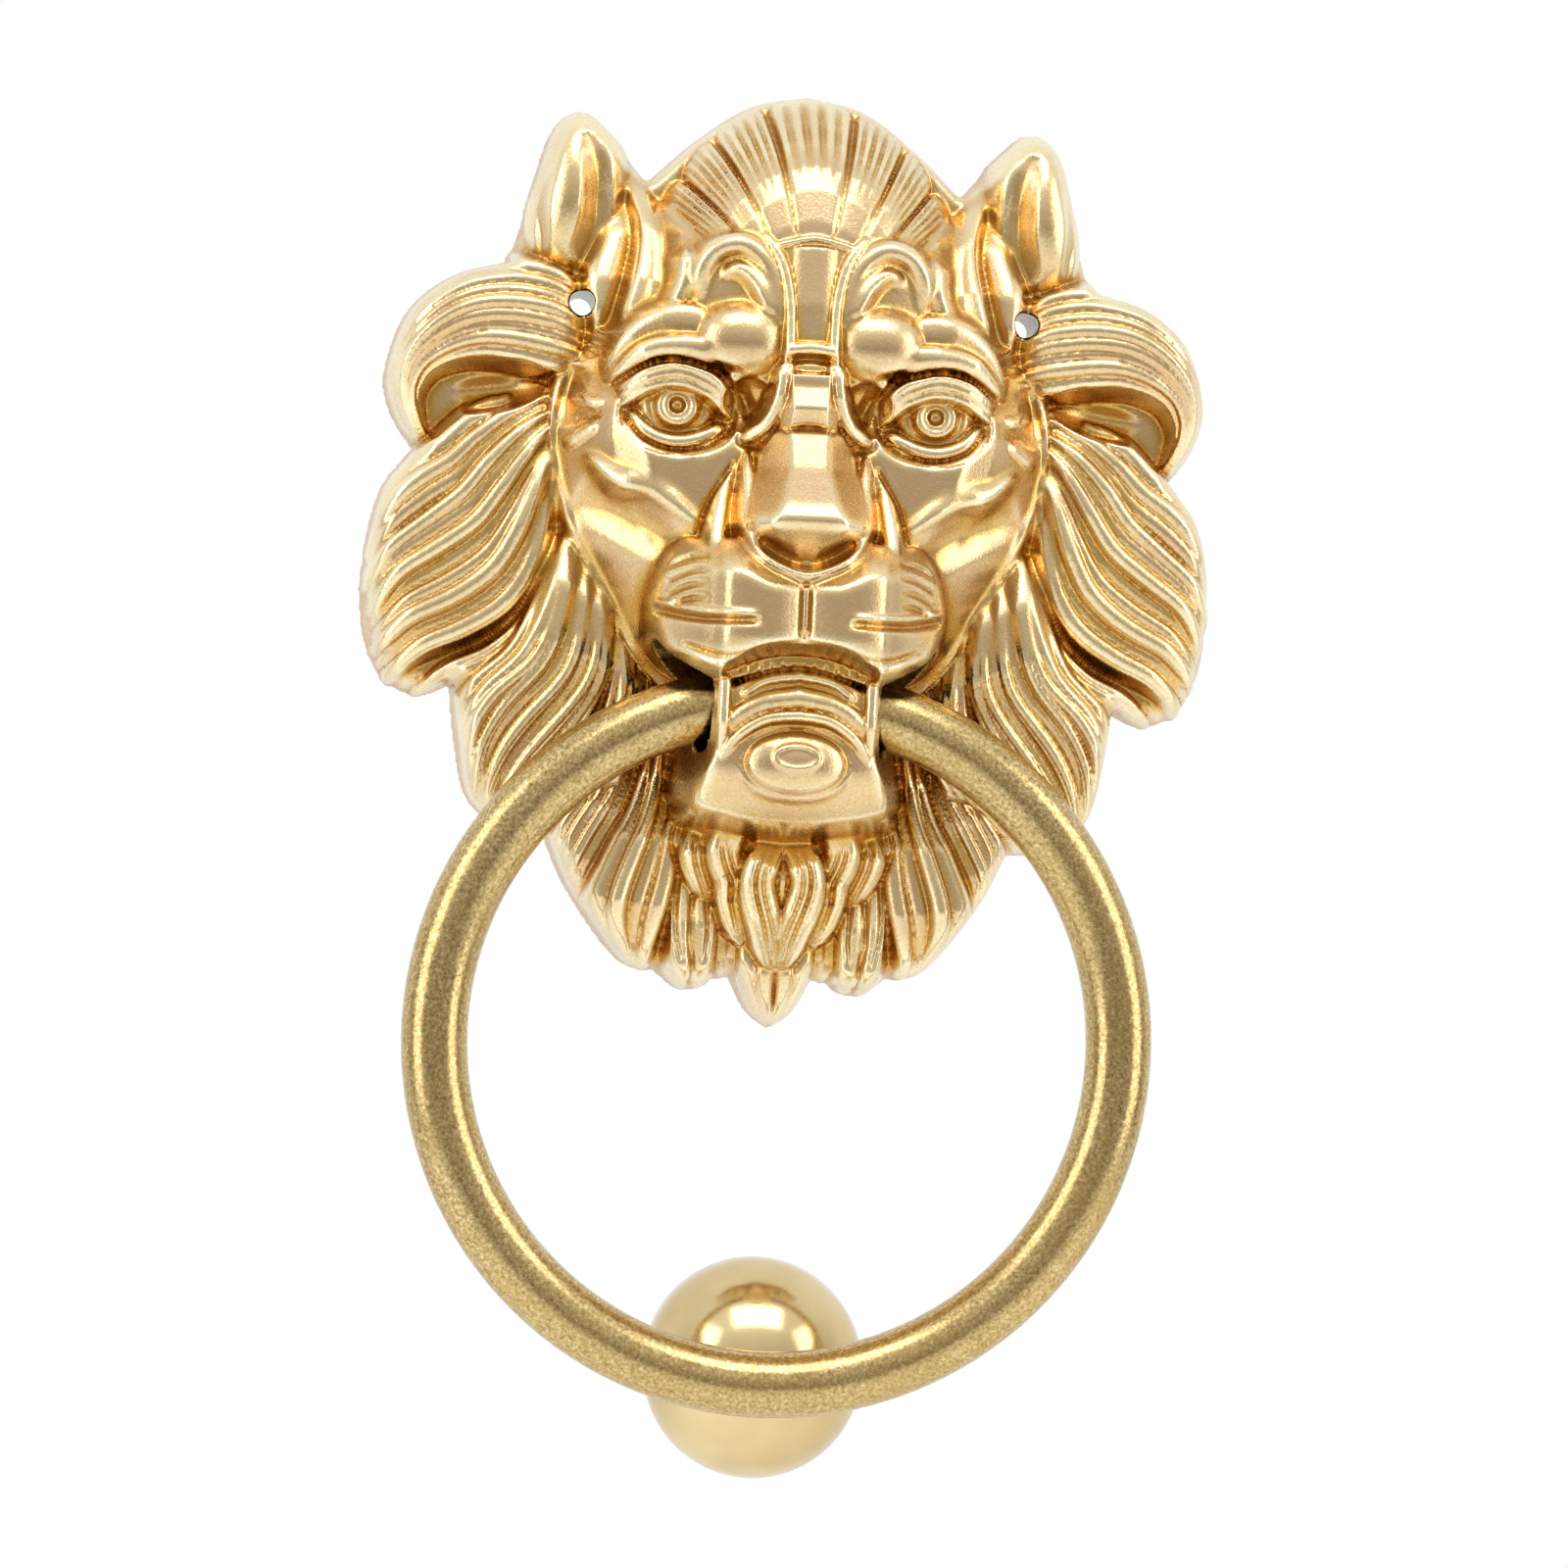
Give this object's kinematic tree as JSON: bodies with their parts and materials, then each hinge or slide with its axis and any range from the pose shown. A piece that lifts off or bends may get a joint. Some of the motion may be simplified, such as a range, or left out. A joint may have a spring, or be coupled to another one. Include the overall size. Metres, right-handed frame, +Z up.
{
  "type": "door knocker",
  "caption": "Lion head door knocker: a cast brass head holds a hinged ring in its jaw, and the ring strikes a separate domed button screwed to the door below.",
  "frame": {"origin": "on the door plane, midway between the two fixing screw holes", "axes": "+Z up the door, -Y out of the door towards the caller, +X to the right as seen from the front"},
  "size_m": [0.1172, 0.065, 0.1892],
  "materials": {
    "head_brass": "satin polished cast brass with darker grooves",
    "ring_brass": "sand-cast bar, lightly polished",
    "button_brass": "smooth polished",
    "steel": "zinc plated"
  },
  "bodies": {
    "door_side": {"lion_head": "head_brass", "strike_button": "button_brass", "strike_screw": "steel"},
    "ring": {"knocker_ring": "ring_brass", "ring_joint_pin": "steel"}
  },
  "joints": [
    {"name": "ring_swing", "type": "hinge", "parent": "door_side", "child": "ring", "pos_m": [0, -0.022, -0.052], "axis": [-1, 0, 0], "range_deg": [0, 92]}
  ]
}
